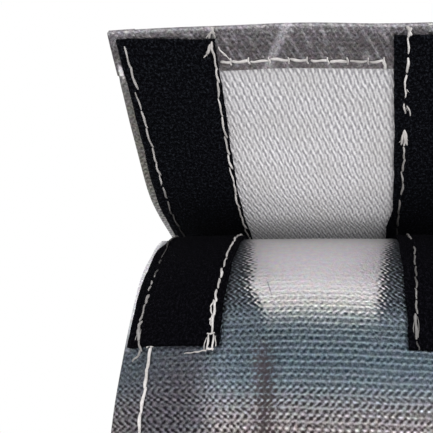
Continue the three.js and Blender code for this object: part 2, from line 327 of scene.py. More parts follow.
# The camera stands before the flap at the height of the crease, turned a little to the left.
camera = {
    "place": (6.8, -145.7, 179.6),
    "turnedLeft": 6.0,
    "tiltedUp": 4.04,
    "lens": 54.1,
    "shiftX": -0.148,
}
lens = bpy.data.cameras.new("camera")
lens.lens = camera["lens"]
lens.sensor_width = 36
lens.shift_x = camera["shiftX"]
lens.clip_start = 0.01
lens.dof.use_dof = False
viewer = newObject("camera", lens)
viewer.location = [c * mm for c in camera["place"]]
viewer.rotation_euler = (math.radians(90 + camera["tiltedUp"]), 0, math.radians(camera["turnedLeft"]))
scene.camera = viewer

# Plain soft light: a wide low lamp before the front, weaker ones at the side and behind, and an even world.
studio = {
    "floorColour": "#f1f1f0",
    "floorSize": 8.0,
    "shadowRadius": (0.252, 0.42),  # the floor keeps the bag's shadow this near, in metres
    "worldLevel": 0.62,
    "aimHeight": 0.1,
    "lamps": {
        "key": {"place": (0.45, -0.95, 0.5), "size": 1.0, "power": 11.0},
        "fill": {"place": (-0.8, -0.55, 0.7), "size": 0.9, "power": 3.0},
        "back": {"place": (0.1, 0.9, 0.9), "size": 0.9, "power": 5.0},
    },
}


# 1 for rays that come from the camera, or by way of gloss or glass.
def seenRays(add):
    path = add("LightPath")
    seen = 0.0
    for ray in ("Is Camera Ray", "Is Glossy Ray", "Is Transmission Ray"):
        seen = add("Math MAXIMUM", [seen, path.outputs[ray]])
    return seen


def setLights():
    scene.view_settings.view_transform = "Standard"
    for name, lamp in studio["lamps"].items():
        light = bpy.data.lights.new(name, "AREA")
        light.energy = lamp["power"]
        light.size = lamp["size"]
        holder = newObject(name, light)
        holder.location = lamp["place"]
        x, y, z = lamp["place"]
        tilt = math.atan2(math.hypot(x, y), z - studio["aimHeight"])
        holder.rotation_euler = (tilt, 0, math.atan2(-y, -x) - math.pi / 2)

    # White to the camera and in reflections, and a plain level for the light that falls on cloth.
    scene.world = bpy.data.worlds.new("studio")
    add = emptyTree(scene.world)
    level = add("MapRange", [seenRays(add), 0, 1, studio["worldLevel"], 1])
    add("OutputWorld", [add("Background", ["#ffffff", level])])


def makeFloor():
    # painted board, rolled matt: it takes the shadow near the bag, and is plain white further off
    material = bpy.data.materials.new("paintedBoardMatt")
    add = emptyTree(material)
    radius = add("VectorMath LENGTH", [add("TexCoord").outputs["Object"]])
    far = add("MapRange", [radius, *studio["shadowRadius"]], **smooth)
    seen = add("Math MULTIPLY", [seenRays(add), far])
    paint = add("BsdfPrincipled", {"Base Color": studio["floorColour"], "Roughness": 0.9})
    white = add("Emission", ["#ffffff", 1.0])
    add("OutputMaterial", [add("MixShader", [seen, paint, white])])
    board = bmesh.new()
    bmesh.ops.create_grid(board, x_segments=8, y_segments=8, size=studio["floorSize"] / 2)
    mesh = bpy.data.meshes.new("floor")
    board.to_mesh(mesh)
    board.free()
    mesh.materials.append(material)
    floor = newObject("floor", mesh)


setLights()
makeFloor()
print("camera, lights and floor placed")


# The cloth's own place in millimetres, drawn slightly crooked as woven cloth is. Its third number is always 1.
def clothPlace(add, crooked):
    cloth = add("UVMap", uv_map="cloth")
    waver = add("TexNoise", [cloth, 0.14, 3.0], noise_dimensions="2D")
    shift = (-crooked[0] / 2, -crooked[1] / 2, 1)
    moved = add("VectorMath MULTIPLY_ADD", [waver.outputs["Color"], (*crooked, 0), shift])
    return cloth, add("VectorMath ADD", [cloth, moved])


# Adds up the even waves of a weave. A wave is (turns per millimetre across, the same along, start, strength, drift),
# and drift is how far it slides against the other waves from place to place, as yarns do.
def weaveWaves(add, place, waves):
    total = 0.0
    wander = add("TexNoise", [place, 0.16, 3.0], noise_dimensions="2D")
    wander = add("SeparateColor", [wander.outputs["Color"]])
    for i, (across, along, start, strength, drift) in enumerate(waves):
        run = (2 * math.pi * across, 2 * math.pi * along, start)
        angle = add("VectorMath DOT_PRODUCT", [place, run])
        if drift:
            angle = add("Math MULTIPLY_ADD", [wander.outputs[i % 3], drift, angle])
        wave = add("Math COSINE", [angle])
        total = add("Math MULTIPLY_ADD", [wave, strength, total])
    return total


# Aluminium foil bonded over woven glass cloth, rolled: a bright, slightly rough metal through which the yarns show
# as rows of short slanted ridges. The rows are 1.12 mm apart and the ridges 1.32 mm, as on a heavy glass cloth.
foil = {
    "rows": [(0.0, 0.89, 0.0, 0.85, 0), (0.0, 1.78, 0.0, 0.25, 0)],
    "slanting": [(0.757, 0.87, 0.0, 0.74, 4), (0.757, 0.44, 0.0, 0.66, 7), (0.75, 1.25, 0.9, 0.3, 7)],
    "crossing": [(-0.757, 0.88, -0.3, 0.45, 6), (-0.757, 1.3, 1.4, 0.3, 9), (-0.77, 0.3, 0.5, 0.22, 8)],
    "crooked": (1.6, 0.45),
    "contrast": 0.23,
    "narrowness": 1.3,
    "level": 0.45,  # how light the foil is between its ridges and its hollows
    "stepped": 1.6,  # how many millimetres further along a change of colour reaches in the hollows
    "hue": 0.3,
    "roughness": (0.28, 0.5),
    "ridgeDepth": 0.15,
    "markRagged": 1.2,
    "markEdge": (1, 1.7, 0.85, 0),
}

# The front's foil. A range is where something starts and where it is full, in millimetres across or along the cloth,
# and goes on with how much it is there. A pair of colours is the hollows' and the ridges'.
shoulder = {
    # (along, strength, share of the slanting ridges, narrowness of the ridges): pressed smooth and flat over the
    # shoulder, then in narrow rows, then in bold slanting ridges
    "weave": [
        (30, 0.24, 0.4, 0.35), (36, 0.5, 0.55, 0.35), (41, 1.0, 0.6, 0.5), (44, 1.0, 0.4, 0.85),
        (51, 1.0, 0.42, 0.85), (56, 1.1, 1.0, 0.7), (100, 1.15, 1.0, 0.7),
    ],
    "leftOfFold": (-7, -13),
    "leftSide": (-20, -42),
    "crossed": (0.45, 0.55),  # how much the weave is crossed left of the fold, and how much more at the left side
    "crossedShares": {"rows": -0.8, "slanting": -0.3, "crossing": 1.0},
    "opened": 3.6,  # how many millimetres of weave are spread out at the left side
    # beside the tapes, ragged and reaching further out on the left
    "besideTape": (16, 18.4),
    "besideTapeLean": 0.15,
    "spreadOnLeft": (35, 41, 0, 2.5),
    "tapeEnds": (38, 47, 1, 0),
    # painted shade beside the tapes, dark and bluish
    "tapeShade": (17, 19.4),
    "tapeShadeRagged": 0.9,
    "tapeShadeBelow": (42, 53, 0.95, 0),
    "tapeShadeLean": 0.14,
    "tapeShadeColours": ("#0a1017", "#808c97"),
    # the long fold in the middle, with painted shade in it
    "foldPlace": -13.2,
    "foldLean": 0.08,
    "foldRagged": (2.4, 3),  # by the ridges and by the flecks
    "foldWidth": (2.5, 5, 0.68, 0),
    "foldBelow": (44, 50),
    "foldShadeColour": "#3c3436",
    # painted shade on the left side below its tape
    "leftShadeAcross": (-27, -14, 1, 0),
    "leftShadeAlong": (44, 60, 0.35, 1.2),
    "leftShadeInner": (-1.3, 1.5),  # at the very edge it is this much less, from this level
    "leftShadeColours": ("#171519", "#727077"),
    # between the fold and the shaded left side, where the colour is made lighter: (across, along, half width, half
    # length)
    "clean": (-17.8, 56.5, 4.545, 11.765),
    "lighterSpotEdge": (0.2, 1.5, 1.5, 1),
    # a painted highlight outside the left tape
    "rim": (-36.8, -38.6, 0, 0.9),
    "rimHighlightColours": ("#c9c8cc", "#fbfafc"),
}

# The flap's foil, where its end is folded under, with painted highlights on its creases.
hem = {
    "smoother": (6, 50, 0.3),  # the weave is rubbed down to this share along the flap
    "streaksTurned": -1.05,
    "streaksDrawn": (0.22, 1, 0),
    "streaks": (0.5, 0.75, 0, 0.42),
    "creaseAcross": (0.87, 0.492, 0),
    "creasePlace": 30,
    "creaseWidth": (0.3, 1.5, 0.38, 0),
    "foldedFrom": (64, 65.5, 0, 2.4),
    # the painted highlights' colour
    "colour": "#c9c6cc",
}


# The weave of the front changes along it and across it. Besides the weave and the strength and narrowness of its
# ridges, this gives the places that the wear goes by.
def shoulderWeave(add, place, across, along):
    # left of the fold the ridges that slant the other way show more, and at the left side the weave opens
    toSide = add("MapRange", [across, *shoulder["leftSide"]])
    nearer, further = shoulder["crossed"]
    leftOfFold = add("MapRange", [across, *shoulder["leftOfFold"], 0, nearer])
    opened = add("CombineXYZ", [add("Math MULTIPLY", [toSide, shoulder["opened"]])])
    place = add("VectorMath ADD", [place, opened])
    crossed = add("Math MULTIPLY_ADD", [toSide, further, leftOfFold])
    # beside the tapes the weave shows at full strength
    spread = add("MapRange", [along, *shoulder["spreadOnLeft"]])
    mirrored = add("Math MULTIPLY_ADD", [across, -1, spread])
    aside = add("Math MAXIMUM", [across, mirrored])
    aside = add("Math MULTIPLY_ADD", [along, shoulder["besideTapeLean"], aside])
    besideTape = add("MapRange", [aside, *shoulder["besideTape"]])
    above = add("MapRange", [along, *shoulder["tapeEnds"]])
    besideTape = add("Math MULTIPLY", [besideTape, above])
    crossed = add("Math MAXIMUM", [crossed, besideTape])
    hundredth = add("Math MULTIPLY", [along, 0.01])
    showing = add("ValToRGB", [hundredth], [(row[0] / 100, row[1:]) for row in shoulder["weave"]])
    showing = add("SeparateColor", [showing])
    # none of the three is less there than beside the tapes
    strength, slanted, narrow = [add("Math MAXIMUM", [channel, besideTape]) for channel in showing.outputs]
    strength = add("Math MULTIPLY", [strength, foil["contrast"]])
    narrow = add("Math MULTIPLY", [narrow, 2])
    woven = 0.0
    for part, change in shoulder["crossedShares"].items():
        share = add("Math MULTIPLY_ADD", [crossed, change, 1])
        if part != "rows":
            share = add("Math MULTIPLY", [share, slanted])
        woven = add("Math MULTIPLY_ADD", [weaveWaves(add, place, foil[part]), share, woven])
    return woven, strength, narrow, (toSide, aside, above)


# How far the cloth's places are from a spot, counted in the spot's own half width and half length.
def farFrom(add, cloth, x, y, halfAcross, halfAlong, lean=0.0):
    away = add("VectorMath SUBTRACT", [cloth, (x, y, 0)])
    away = add("VectorRotate", {"Vector": away, "Angle": lean}, rotation_type="Z_AXIS")
    away = add("VectorMath MULTIPLY", [away, (1 / halfAcross, 1 / halfAlong, 0)])
    return add("VectorMath LENGTH", [away])


# Lays painted shade and highlights over the foil. A layer is (how much of it shows, its colour in the hollows, its
# colour on the ridges).
def layPaintedLight(add, colour, ridge, layers):
    for amount, hollows, ridges in layers:
        layer = add("Mix", [ridge, hollows, ridges], data_type="RGBA")
        colour = add("Mix", [amount, colour, layer], data_type="RGBA")
    return colour


def paintShoulderLight(add, colour, ridge, woven, flecks, cloth, across, along, places):
    toSide, aside, above = places
    # beside the tapes the foil has dark, bluish painted shade
    ragged = add("Math MULTIPLY_ADD", [woven, -shoulder["tapeShadeRagged"], aside])
    tapeShade = add("MapRange", [ragged, *shoulder["tapeShade"]], **smooth)
    leaned = add("Math MULTIPLY_ADD", [across, shoulder["tapeShadeLean"], along])
    upper = add("MapRange", [leaned, *shoulder["tapeShadeBelow"]], **smooth)
    tapeShade = add("Math MULTIPLY", [tapeShade, upper])
    # the fold in the middle has painted shade
    away = add("Math MULTIPLY_ADD", [along, -shoulder["foldLean"], across])
    away = add("Math SUBTRACT", [away, shoulder["foldPlace"]])
    away = add("Math ABSOLUTE", [away])
    for pattern, ragged in zip((ridge, flecks), shoulder["foldRagged"]):
        away = add("Math MULTIPLY_ADD", [pattern, ragged, away])
    inFold = add("MapRange", [away, *shoulder["foldWidth"]], **smooth)
    below = add("MapRange", [along, *shoulder["foldBelow"]], **smooth)
    foldShade = add("Math MULTIPLY", [inFold, below])
    # the left side below the tape has painted shade, less at its very edge
    left = add("MapRange", [across, *shoulder["leftShadeAcross"]], **smooth)
    lower = add("MapRange", [along, *shoulder["leftShadeAlong"]])
    inner = add("Math MULTIPLY_ADD", [toSide, *shoulder["leftShadeInner"]])
    leftShade = add("Math MULTIPLY", [lower, inner])
    leftShade = add("Math MULTIPLY", [left, leftShade], use_clamp=True)
    layers = [
        (tapeShade, *shoulder["tapeShadeColours"]),
        (foldShade, shoulder["foldShadeColour"], shoulder["foldShadeColour"]),
        (leftShade, *shoulder["leftShadeColours"]),
    ]
    colour = layPaintedLight(add, colour, ridge, layers)
    # between them the foil's colour is made lighter
    clean = add("MapRange", [farFrom(add, cloth, *shoulder["clean"]), *shoulder["lighterSpotEdge"]], **smooth)
    colour = add("VectorMath SCALE", [colour, clean])
    # outside the tape the fold of the left side has a painted highlight
    rim = add("MapRange", [across, *shoulder["rim"]])
    rim = add("Math MULTIPLY", [rim, above])
    return layPaintedLight(add, colour, ridge, [(rim, *shoulder["rimHighlightColours"])])


# Painted highlights on the creases where the end is folded under: soft streaks that run aslant, one of them strong.
def highlightHemCreases(add, colour, worn, cloth, along):
    turned = add("VectorRotate", {"Vector": cloth, "Angle": hem["streaksTurned"]}, rotation_type="Z_AXIS")
    drawn = add("VectorMath MULTIPLY", [turned, hem["streaksDrawn"]])
    streaks = add("MapRange", [add("TexNoise", [drawn, 1, 3, 0.55]), *hem["streaks"]])
    away = add("VectorMath DOT_PRODUCT", [cloth, hem["creaseAcross"]])
    away = add("Math SUBTRACT", [away, hem["creasePlace"]])
    away = add("Math ABSOLUTE", [away])
    crease = add("MapRange", [away, *hem["creaseWidth"]], **smooth)
    creaseHighlight = add("Math MAXIMUM", [streaks, crease])
    creaseHighlight = add("Math MULTIPLY", [creaseHighlight, worn])
    folded = add("MapRange", [along, *hem["foldedFrom"]])
    creaseHighlight = add("Math MULTIPLY", [creaseHighlight, folded], use_clamp=True)
    return add("Mix", [creaseHighlight, colour, hem["colour"]], data_type="RGBA")


# lights and darks are (millimetres along the cloth, colour) for the painted highlights on the ridges and the painted
# shade in the hollows between them, and crinkle is how strongly the foil's own fine wrinkles show.
# marks are small painted highlights and lines of painted shade on folds and creases: (across, along, half width,
# half length, lean, colour).
def foilOnGlassCloth(add, lights, darks, crinkle=0.26, part="body", marks=()):
    cloth, place = clothPlace(add, foil["crooked"])
    across, along, _ = add("SeparateXYZ", [place]).outputs
    if part == "shoulder":
        woven, strength, narrow, places = shoulderWeave(add, place, across, along)
    else:
        woven = weaveWaves(add, place, foil["rows"] + foil["slanting"] + foil["crossing"])
        strength, narrow = foil["contrast"], foil["narrowness"]
    if part == "flap":
        start, end, share = hem["smoother"]
        strength = add("MapRange", [along, start, end, strength, share * strength])
    flecks = add("TexNoise", [cloth, 1.7, 3, 0.8])
    worn = add("MapRange", [flecks, 0.3, 0.7, foil["level"] - crinkle, foil["level"] + crinkle])
    ridge = add("Math MULTIPLY_ADD", [woven, strength, worn], use_clamp=True)
    ridge = add("Math POWER", [ridge, narrow])
    # the change from lighter to darker lengths of foil follows the ridges
    stepped = add("Math MULTIPLY_ADD", [ridge, -foil["stepped"], along])
    length = add("MapRange", [stepped, 0, 100])
    ramps = [add("ValToRGB", [length], [(s / 100, colour) for s, colour in ramp]) for ramp in (darks, lights)]
    colour = add("Mix", [ridge, *ramps], data_type="RGBA")
    if part == "shoulder":
        colour = paintShoulderLight(add, colour, ridge, woven, flecks, cloth, across, along, places)
    if part == "flap":
        colour = highlightHemCreases(add, colour, worn, cloth, along)
    for *spot, markColour in marks:
        away = add("Math MULTIPLY_ADD", [flecks, foil["markRagged"], farFrom(add, cloth, *spot)])
        shown = add("MapRange", [away, *foil["markEdge"]], **smooth)
        colour = add("Mix", [shown, colour, markColour], data_type="RGBA")
    # thin-film tints, faint and in small patches
    tint = add("TexNoise", [cloth, 0.9, 2])
    hue = foil["hue"]
    tint = add("VectorMath MULTIPLY_ADD", [tint.outputs["Color"], (hue,) * 3, (1 - hue / 2,) * 3])
    colour = add("VectorMath MULTIPLY", [colour, tint])
    creases = add("TexNoise", {"Vector": cloth, "Scale": 0.4, "Detail": 4, "Distortion": 0.8})
    height = add("Math MULTIPLY_ADD", [creases, 0.6 + 1.6 * crinkle, ridge])
    return {
        "Base Color": colour,
        "Metallic": 1.0,
        "Roughness": add("MapRange", [flecks, 0.3, 0.7, *foil["roughness"]]),
        "Normal": add("Bump", {"Height": height, "Distance": foil["ridgeDepth"] * mm, "Strength": 0.8}),
    }


# Bare glass cloth, woven in a twill: matt off-white floats 1.4 mm apart that lean to one side, with grey painted
# shade between them.
glass = {
    "waves": [
        (0.66, 0.325, 0.0, 0.9, 0), (1.31, 0.34, 0.0, 0.9, 2), (0.645, -0.29, -1.8, 0.33, 3),
        (0.635, -0.6, -1.9, 0.34, 5), (0.67, 0.63, -0.9, 0.33, 4), (1.28, -0.25, 0.6, 0.35, 6),
    ],
    "crooked": (1.1, 1.3),
    "contrast": 0.26,
    "floatDepth": 0.3,
    "colours": ("#8f8d93", "#f4f2f5"),
    "warm": "#b9b6b2",
    # (along, brightness): painted shade at the crease and under the hem, and painted light a little above the crease
    "grime": [
        (0, 0.65), (3.5, 1.0), (8.4, 1.15), (15.4, 1.12), (21, 1.02), (31.5, 0.87), (42, 0.8), (53.2, 0.78),
        (56, 0.7), (60.2, 0.5),
    ],
}


def bareGlassCloth(add):
    cloth, place = clothPlace(add, glass["crooked"])
    fibres = add("MapRange", [add("TexNoise", [cloth, 1.9, 3, 0.65]), 0.3, 0.7, 0.25, 0.7])
    woven = weaveWaves(add, place, glass["waves"])
    floats = add("Math MULTIPLY_ADD", [woven, glass["contrast"], fibres], use_clamp=True)
    colour = add("Mix", [floats, *glass["colours"]], data_type="RGBA")
    warm = add("MapRange", [add("TexNoise", [cloth, 0.09, 1]), 0.4, 0.7, 0, 0.3])
    colour = add("Mix", [warm, colour, glass["warm"]], data_type="RGBA")
    along = add("SeparateXYZ", [cloth]).outputs["Y"]
    length = add("MapRange", [along, 0, 100])
    grime = add("ValToRGB", [length], [(s / 100, brightness) for s, brightness in glass["grime"]])
    relief = {"Height": floats, "Distance": glass["floatDepth"] * mm, "Strength": 0.8}
    return {
        "Base Color": add("Mix", [1, colour, grime], data_type="RGBA", blend_type="MULTIPLY"),
        "Roughness": 0.62,
        "Sheen Weight": 0.15,
        "Normal": add("Bump", relief),
    }


# Nylon hook and loop tape, woven and dyed black: matt, with the odd lighter hook or loop catching the light.
tapeLook = {
    "hookTape": {"grain": 2.1, "ground": "#020204", "glint": "#282b32", "roughness": 0.95, "depth": 0.35},
    "loopTape": {"grain": 2.8, "ground": "#010103", "glint": "#1b1a21", "roughness": 1.0, "depth": 0.4},
}


def wovenNylonTape(add, look):
    cloth = add("UVMap", uv_map="cloth")
    pile = add("TexVoronoi", {"Vector": cloth, "Scale": look["grain"], "Randomness": 1}, voronoi_dimensions="2D")
    fuzz = add("TexNoise", [cloth, 1.6, 3, 0.75])
    glints = add("ValToRGB", [fuzz], [(0, 0.0), (0.48, 0.03), (0.6, 0.55), (0.75, 1.0)])
    tips = add("Math MULTIPLY", [pile, 1.6], use_clamp=True)
    lit = add("Math MULTIPLY", [glints, tips])
    height = add("Math MULTIPLY_ADD", [fuzz, 1.5, pile])
    return {
        "Base Color": add("Mix", [lit, look["ground"], look["glint"]], data_type="RGBA"),
        "Roughness": look["roughness"],
        "Specular IOR Level": 0.03,
        "Normal": add("Bump", {"Height": height, "Distance": look["depth"] * mm, "Strength": 0.9}),
    }


# Spun thread, bleached and doubled: off-white and slightly fuzzy, greyer where it has rubbed and worn, and darkened
# with painted shade near the crease.
threadLook = {
    "colours": ("#a29d9b", "#e2dfde"),
    "rubbed": "#7d7977",
    "soot": "#060606",
    "strandDepth": 0.1,
}


def spunThread(add):
    place = add("TexCoord").outputs["Object"]
    strands = add("TexNoise", [place, 1400, 3])
    colour = add("Mix", [strands, *threadLook["colours"]], data_type="RGBA")
    rubbed = add("MapRange", [add("TexNoise", [place, 190, 2]), 0.42, 0.62, 0, 0.6])
    colour = add("Mix", [rubbed, colour, threadLook["rubbed"]], data_type="RGBA")
    soot = add("Attribute", attribute_name="soot").outputs["Fac"]
    return {
        "Base Color": add("Mix", [soot, colour, threadLook["soot"]], data_type="RGBA"),
        "Roughness": 0.8,
        "Specular IOR Level": 0.2,
        "Normal": add("Bump", {"Height": strands, "Distance": threadLook["strandDepth"] * mm, "Strength": 0.7}),
    }


# The front's colours along the cloth are painted light: painted shade at the lip under the flap, a light painted
# reflection of the flap's lining over the shoulder, bluish painted reflections below it and pinkish ones lower down.
frontFoil = newMaterial(
    "foilOnGlassClothShoulder",
    foilOnGlassCloth,
    [
        (0, "#9a9993"), (8, "#c9c8c6"), (16, "#e8e5e5"), (26, "#f4eff4"), (35, "#f4f0f2"), (37.8, "#e8e5e2"),
        (40.8, "#a9b0b3"), (43.3, "#87939b"), (49, "#7a8892"), (53, "#848d95"), (57, "#98969a"), (62, "#aba2a1"),
        (100, "#bab7b9"),
    ],
    [
        (0, "#66655f"), (10, "#b4b3b1"), (18, "#d7d4d5"), (26, "#e3dfe2"), (34, "#d6d2d3"), (37, "#8c8a8e"),
        (40, "#3a3f43"), (43.3, "#151f26"), (49, "#111b22"), (53, "#192127"), (57, "#242224"), (62, "#231d1d"),
        (100, "#3c3a3c"),
    ],
    crinkle=0.32,
    part="shoulder",
    # a thin line of painted shade on the fold's crease
    marks=[(-9.1, 35.4, 0.2, 2.8, 0.36, "#a3a0a5")],
)
# Its ramps are a little lighter where the end folds under, a painted highlight, and darker on the turned-under hem.
flapFoil = newMaterial(
    "foilOnGlassClothFlap",
    foilOnGlassCloth,
    [
        (10, "#c4c2c3"), (30, "#a09e98"), (48, "#9d9b98"), (60, "#a3a0a4"), (63.6, "#aba8ac"), (65.3, "#aeabaf"),
        (66.3, "#928e92"), (69, "#827d80"), (72, "#837e81"), (75, "#9d9899"),
    ],
    [
        (10, "#555355"), (30, "#3e3d39"), (48, "#413f3d"), (60, "#4a484a"), (63.6, "#504d50"), (65.3, "#555255"),
        (66.3, "#3c393c"), (69, "#343133"), (72, "#333032"), (75, "#484445"),
    ],
    crinkle=0.36,
    part="flap",
    # painted highlights on the flap's left fold
    marks=[(-41.7, 74.4, 0.6, 2.0, 0.0, "#f6f5f6"), (-41.7, 55.9, 0.5, 1.3, 0.0, "#e6e5e6")],
)
plainRamps = [(0, "#c4c2c3"), (100, "#bfbdc0")], [(0, "#555355"), (100, "#515053")]
plainFoil = newMaterial("foilOnGlassCloth", foilOnGlassCloth, *plainRamps)
liningCloth = newMaterial("bareGlassCloth", bareGlassCloth)
hookNylon = newMaterial("hookNylon", wovenNylonTape, tapeLook["hookTape"])
loopNylon = newMaterial("loopNylon", wovenNylonTape, tapeLook["loopTape"])
thread = newMaterial("spunThread", spunThread)
print("materials made")

# Where cloth that crosses a joint bends: from one (Y, height) to the other, in millimetres.
bends = {
    "mouth": ((-20.75, 153), (-20.75 - 5.2 * 0.507, 153 + 5.2 * 0.862)),
    "flap_base": ((30.0, 181.5), (26.2, 186.8)),
}


def fromPouch(piece, body, *nodes):
    start, end = [(0, y * mm, height * mm) for y, height in bends[body]]
    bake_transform(piece)
    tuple(start)
    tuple(end)
    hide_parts(*nodes)


def riding(piece, body, *nodes):
    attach(piece, body)
    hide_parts(*nodes)


# The flap bends in three places, so it is made in three lengths, each listed with the two bodies on either side of
# its bend.
flapZones = {
    "lower": {"from": flapCuts[0], "to": flapCuts[1], "bend": 12, "bodies": ("flap_base", "flap_lower")},
    "upper": {"from": flapCuts[1], "to": flapCuts[2], "bend": 30, "bodies": ("flap_lower", "flap_upper")},
    "end": {"from": flapCuts[2], "to": flapLength, "bend": 48, "bodies": ("flap_upper", "flap_end")},
}
halfBend = 5.0


def withZone(piece, zone, *nodes):
    ends = zone["bend"] + np.array([-halfBend, halfBend])
    start, end = flapSurface(np.zeros(2), ends, np.array([-1.0, -1.0])) * mm
    start[0] = end[0] = 0
    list(zone["bodies"])
    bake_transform(piece)
    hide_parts(*nodes)


# Foil cloth, cut in one piece for the front and in one for the back, base of the flap included.
cloth = {
    "spacing": 0.9,
    "sideMargin": 5.0,  # turned under along the sides
    "mouthHem": 8.0,
    "flapHem": 8.8,
    "frontMarginEnds": (48, 56),  # the turned margin gives way to the side panel's flange here
}
halfWidth = bag["halfWidth"]
thickness = bag["clothThickness"]
sideFold = (halfWidth - foldRadius, halfWidth - foldRadius + foldArc)
sideReach = sideFold[1] + cloth["sideMargin"]
acrossCloth = steps(-sideReach, sideReach, cloth["spacing"], (-sideFold[1], -sideFold[0], *sideFold))

# White cloth just under the foil cloth.
lining = {
    "out": -0.7,
    "across": 32.4,
    "flapAcross": 34.2,
    "mouth": 8.3,  # how far it stops short of the lip, under the hem
    "foot": 2.2,
    "spacing": 1.6,
}


# Where a surface's lining lies.
def under(surface):
    return lambda u, v: surface(u, v, lining["out"] + 0 * u)


# Cuts a cloth and puts it in place. How it is held and what it rests on are not used.
def layCloth(name, columns, rows, place, material, held, *restsOn, sharpAngle=40):
    piece = cutCloth(name, columns, rows, place, thickness, material, sharpAngle)
    return piece


# Puts a cloth with turned sides on its surface. reach, drop and turn come from its turned end, where the side
# margins stay inside the fold; facing is 1 where along grows towards that end, and -1 where it shrinks.
def turnedCloth(surface, u, reach, drop=0.0, turn=0.0, endDistance=50.0, marginShare=1.0, facing=1):
    across, sideDrop, _ = turnUnder(np.abs(u), halfWidth)
    across = np.where(np.abs(u) > sideFold[1], sideFold[0] - (sideFold[0] - across) * marginShare, across)
    thin = 0.3 + 0.7 * ease(endDistance, cloth["flapHem"] + 0.5, cloth["flapHem"] + 3)
    inside = -sideDrop * thin
    return surface(np.sign(u) * across, facing * (reach - inside * np.sin(turn)), drop - inside * np.cos(turn))


def makeFront():
    folds = (foldRadius - foldArc, foldRadius)
    rows = steps(folds[0] - cloth["mouthHem"], frontLength, cloth["spacing"], folds)

    def place(u, v):
        hemmed, drop, turn = turnUnder(-v, 0)
        margin = 1 - 0.85 * ease(-hemmed, *cloth["frontMarginEnds"])
        return turnedCloth(frontSurface, u, hemmed, drop, turn, -hemmed, margin, -1)

    piece = layCloth("frontCloth", acrossCloth, rows, place, frontFoil, "stretched", "bottomPanel")
    fromPouch(piece, "mouth", "front_panel", "mouth_panel")

    columns = steps(-lining["across"], lining["across"], lining["spacing"])
    rows = steps(lining["mouth"], frontLength - lining["foot"], lining["spacing"])
    piece = layCloth("frontLining", columns, rows, under(frontSurface), liningCloth, "hung", "frontCloth")
    fromPouch(piece, "mouth", "front_lining", "mouth_lining")


# Numbers the weave of a back piece so that it runs on into the flap's.
def continueFlap(piece):
    for loop in piece.data.uv_layers["cloth"].data:
        loop.uv.y += flapStart - backLength


def makeBack():
    rows = steps(0, backLength, cloth["spacing"])

    def place(u, v):
        return turnedCloth(backSurface, u, v, marginShare=0.15 + 0.85 * ease(v, top - 6, top + 1))

    piece = layCloth("backCloth", acrossCloth, rows, place, flapFoil, "stretched", "bottomPanel")
    continueFlap(piece)
    fromPouch(piece, "flap_base", "back_panel", "flap_base_cloth")

    def placeLining(u, v):
        widening = lining["across"] / lining["flapAcross"]
        widening = widening + (1 - widening) * ease(v, top - 4, top + 1)
        return under(backSurface)(u * widening, v)

    columns = steps(-lining["flapAcross"], lining["flapAcross"], 1.4)
    rows = steps(lining["foot"], backLength, 1.2)
    piece = layCloth("backLining", columns, rows, placeLining, liningCloth, "hung", "backCloth")
    continueFlap(piece)
    fromPouch(piece, "flap_base", "back_lining", "flap_base_lining")


def makeFlap():
    folds = (flapLength - foldRadius, flapLength - foldRadius + foldArc)

    def place(u, v):
        along, drop, turn = turnUnder(v, flapLength)
        return turnedCloth(flapSurface, u, along, drop, turn, flapLength - along)

    for label, zone in flapZones.items():
        reach = liningReach = zone["to"]
        if label == "end":
            reach = folds[1] + cloth["flapHem"]
            liningReach = folds[0] - cloth["flapHem"] - 0.05  # just short of the turned end
        rows = steps(zone["from"], reach, cloth["spacing"], folds)
        name = "flapCloth" + label.title()
        piece = layCloth(name, acrossCloth, rows, place, flapFoil, "hung", "backCloth")
        withZone(piece, zone, f"flap_{label}_cloth")

        columns = steps(-lining["flapAcross"], lining["flapAcross"], 1.2)
        rows = steps(zone["from"], liningReach, 1.0)
        piece = layCloth("flapLining" + label.title(), columns, rows, under(flapSurface), liningCloth, "hung", name)
        withZone(piece, zone, f"flap_{label}_lining")


makeFront()
makeBack()
makeFlap()
print("front, back and flap laid")

# Side panels: each is one cloth folded to a channel, its flanges inside the front and the back.
gusset = {
    "webAt": 33.8,
    "flangeEdge": 39.4,
    "flangeOut": -1.3,
    "web": 54.0,  # the channel's depth, from fold to fold
    "drawnIn": 2.4,  # how far the middle of the web bows into the pouch
    "crease": 1.1,  # how far its middle crease stands in besides
    "topAlong": 2.5,
    "foot": 1.4,
    "straightTo": 56,  # from here the front leans back over the pouch
    "leaningHeights": (152.7, 181.6),  # where the back holds the part that leans
    "liningAt": 33.0,
    "liningOut": -1.5,
    "liningInset": (0.014, 0.012),  # how far its edges stay in, as shares of its width and length
}
sideHeight = frontLength - gusset["foot"] - gusset["topAlong"]


# A point of a side panel: rise runs from the foot to the mouth, and share from the front cloth to the back cloth.
def webPoint(side, x, rise, share, out):
    along = frontLength - gusset["foot"] - rise * sideHeight
    front = frontSurface(side * x, along, out - 0.9 * (1 - ease(along, 46, 56)))
    low, high = gusset["leaningHeights"]
    leaning = (gusset["straightTo"] - along) / (gusset["straightTo"] - gusset["topAlong"])
    height = np.where(along > gusset["straightTo"], front[..., 2], low + (high - low) * leaning)
    height = np.maximum(height, gusset["foot"])
    back = backSurface(side * x, height, out)
    point = front + (back - front) * share[..., None]
    depth = np.linalg.norm(front - back, axis=-1)
    bow = gusset["drawnIn"] * np.sin(math.pi * share) * np.clip(depth / 50, 0, 1)
    bow = bow + gusset["crease"] * bump(share, 0.52, 0.035) * np.clip(depth / 40, 0, 1)
    point[..., 0] -= side * (bow + 0.3 * unevenness(share * 7, rise * 18, 4.0) * np.sin(math.pi * share))
    return point


